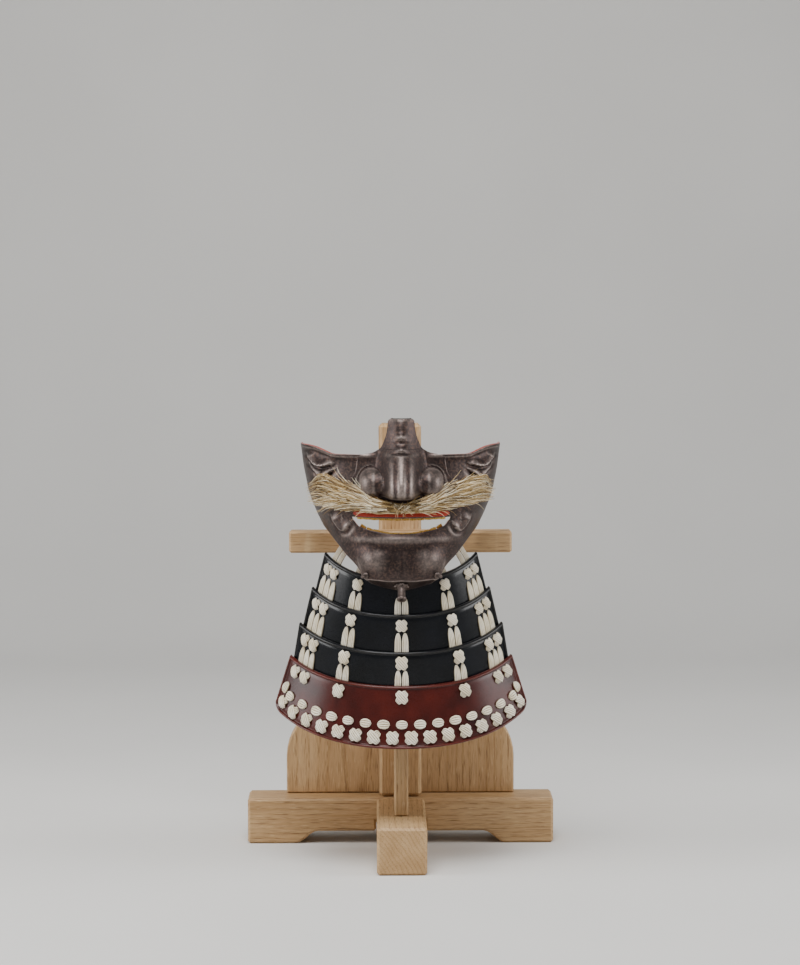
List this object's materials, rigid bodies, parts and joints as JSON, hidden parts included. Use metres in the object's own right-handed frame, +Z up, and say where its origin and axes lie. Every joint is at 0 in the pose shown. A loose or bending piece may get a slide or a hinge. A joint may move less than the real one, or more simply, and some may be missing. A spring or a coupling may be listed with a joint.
{
  "type": "samurai face guard on a display stand",
  "caption": "Iron half mask with a riveted nose piece, bristle moustache and laced hanging throat guard, carried by a plain oak cross-foot stand.",
  "frame": {"origin": "centre of the foot's underside, on the floor under the crossing of foot and beam", "axes": "+Z up, the mask faces -Y, +X to the viewer's right"},
  "size_m": [0.275, 0.3299, 0.39],
  "materials": {
    "russet_iron": "brown-black russet iron, satin",
    "red_lacquer": "red lacquer, worn satin",
    "gilding": "gilt teeth, soft shine",
    "horsehair": "straw-coloured bristle",
    "black_lacquer": "black lacquer over iron, glossy",
    "brown_lacquer": "red-brown lacquer over iron, glossy",
    "silk_braid": "flat off-white silk braid",
    "oak": "light oak, plain satin"
  },
  "bodies": {
    "root": {"mask_shell": "russet_iron", "nose_piece": "russet_iron", "nose_pin_left": "russet_iron", "nose_pin_right": "russet_iron", "sweat_tube": "russet_iron", "chin_peg_left": "russet_iron", "chin_peg_right": "russet_iron", "upper_lip": "red_lacquer", "upper_teeth": "gilding", "lower_teeth": "gilding", "moustache_left": "horsehair", "moustache_right": "horsehair", "throat_lame_1": "black_lacquer", "throat_lame_2": "black_lacquer", "throat_lame_3": "black_lacquer", "throat_lame_4": "brown_lacquer", "lace_1_left_end": "silk_braid", "lace_1_left": "silk_braid", "lace_1_right": "silk_braid", "lace_1_right_end": "silk_braid", "lace_2_left_end": "silk_braid", "lace_2_left": "silk_braid", "lace_2_middle": "silk_braid", "lace_2_right": "silk_braid", "lace_2_right_end": "silk_braid", "lace_3_left_end": "silk_braid", "lace_3_left": "silk_braid", "lace_3_middle": "silk_braid", "lace_3_right": "silk_braid", "lace_3_right_end": "silk_braid", "lace_4_left_end": "silk_braid", "lace_4_left": "silk_braid", "lace_4_middle": "silk_braid", "lace_4_right": "silk_braid", "lace_4_right_end": "silk_braid", "base_foot": "oak", "base_beam": "oak", "post": "oak", "wide_board": "oak", "front_rib": "oak", "crossbar": "oak"}
  },
  "joints": []
}
